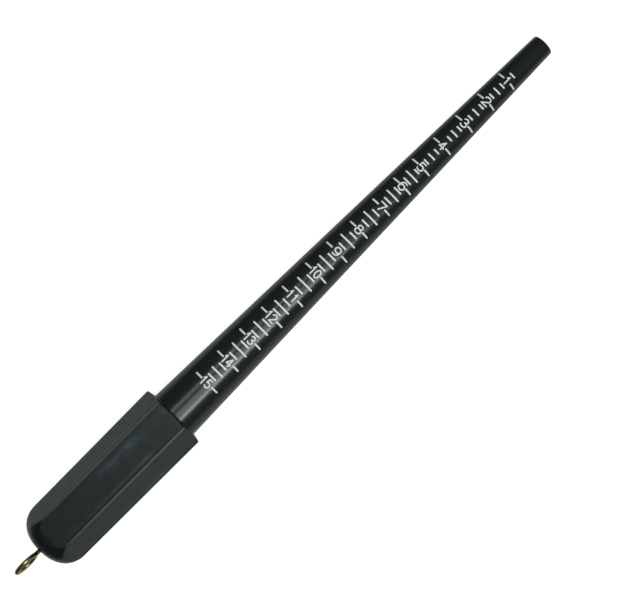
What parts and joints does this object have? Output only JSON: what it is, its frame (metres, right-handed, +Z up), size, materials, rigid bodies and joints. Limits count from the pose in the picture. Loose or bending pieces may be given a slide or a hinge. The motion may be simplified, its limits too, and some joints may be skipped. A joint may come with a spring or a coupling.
{
  "type": "ring mandrel",
  "caption": "Tapered round sizing rod with a printed US ring-size scale, in a six-sided handle with a domed end and a wire screw eye to hang it by.",
  "frame": {"origin": "below the middle of the whole length, level with the handle's lowest edge", "axes": "+X along the rod from handle to tip, +Z up through the handle's upper flat, which the printed scale faces; the rod's axis is parallel to X at the handle's half height"},
  "size_m": [0.3474, 0.0332, 0.029],
  "materials": {
    "rod_plastic": "glossy near-black moulded plastic",
    "handle_plastic": "satin charcoal moulded plastic with fine texture",
    "eye_brass": "brass plated steel wire, slightly dulled",
    "scale_ink": "white pad-printed ink of the scale, on the rod"
  },
  "bodies": {
    "mandrel": {"mandrel_rod": "rod_plastic", "handle_grip": "handle_plastic"},
    "eye": {"screw_eye": "eye_brass"}
  },
  "joints": [
    {"name": "screw_eye_turn", "type": "hinge", "parent": "mandrel", "child": "eye", "pos_m": [-0.15841, 0, 0.01451], "axis": [1, 0, 0], "range_deg": [-90, 90]}
  ]
}
